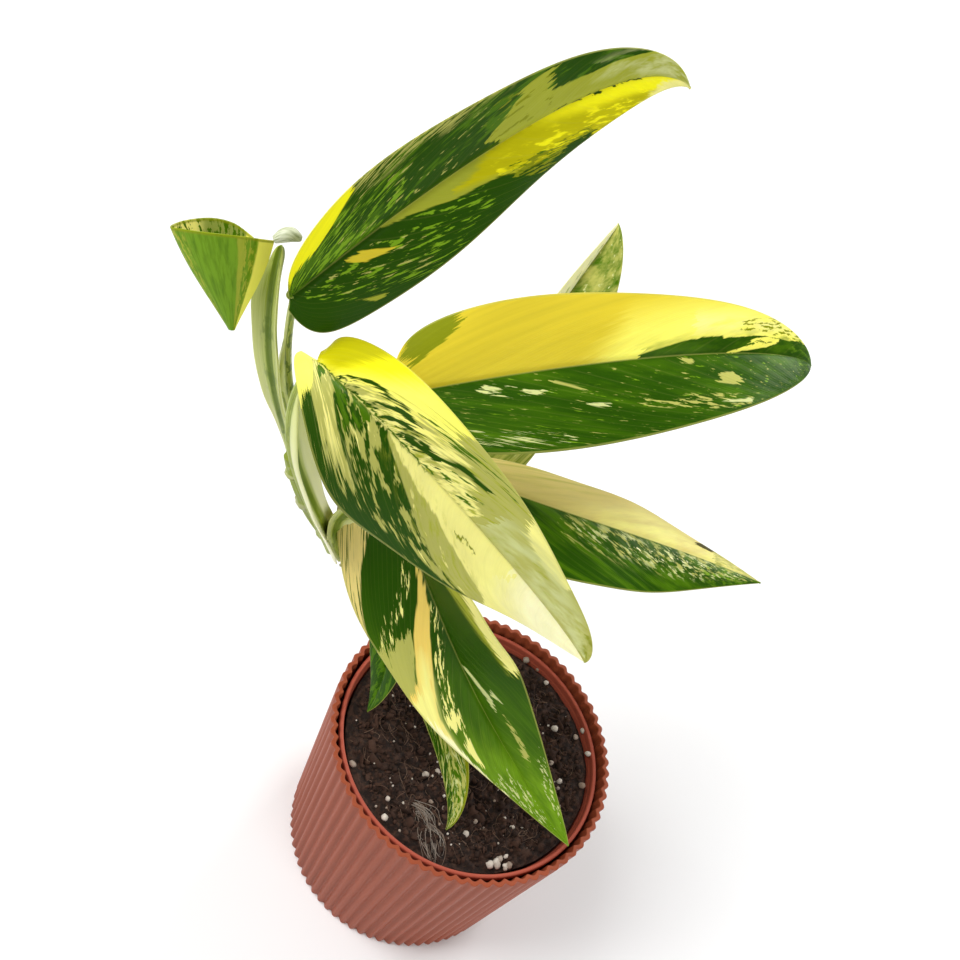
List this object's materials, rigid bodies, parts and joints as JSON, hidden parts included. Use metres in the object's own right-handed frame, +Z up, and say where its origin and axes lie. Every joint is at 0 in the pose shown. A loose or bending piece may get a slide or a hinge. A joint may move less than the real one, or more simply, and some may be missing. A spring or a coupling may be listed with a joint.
{
  "type": "potted variegated monstera standleyana",
  "caption": "Potted climbing aroid with a leaning stem and long glossy leaves in green, cream and yellow, in a ribbed round cover pot.",
  "frame": {"origin": "centre of the cover pot's flat base", "axes": "+Z up, the picture is taken from -Y, the stem leans to -X and the leaves reach to +X and +Y"},
  "size_m": [0.2305, 0.2256, 0.3893],
  "materials": {
    "cover_pot": "terracotta pink, soft satin",
    "grow_pot": "darker terracotta red, smooth satin",
    "soil": "dark moist peat and coco fibre with white perlite grains",
    "stem": "smooth green to olive, paler at the nodes",
    "petiole": "pale olive and cream winged stalk, slightly translucent",
    "blade": "glossy green, streaked and sectored with cream and yellow",
    "young_blade": "soft glossy bright green with a pale yellow sector",
    "shoot": "pale translucent green"
  },
  "bodies": {
    "root": {"cover_pot": "cover_pot", "grow_pot": "grow_pot", "soil": "soil", "stem": "stem", "petiole_top_long": "petiole", "petiole_centre": "petiole", "petiole_right_large": "petiole", "petiole_right_lower": "petiole", "petiole_rear": "petiole", "petiole_lower": "petiole", "petiole_low_left": "petiole", "petiole_low_right": "petiole", "petiole_youngest": "petiole", "blade_top_long": "blade", "blade_centre": "blade", "blade_right_large": "blade", "blade_right_lower": "blade", "blade_rear": "blade", "blade_lower": "blade", "blade_low_left": "blade", "blade_low_right": "blade", "blade_youngest": "young_blade", "shoot": "shoot"}
  },
  "joints": []
}
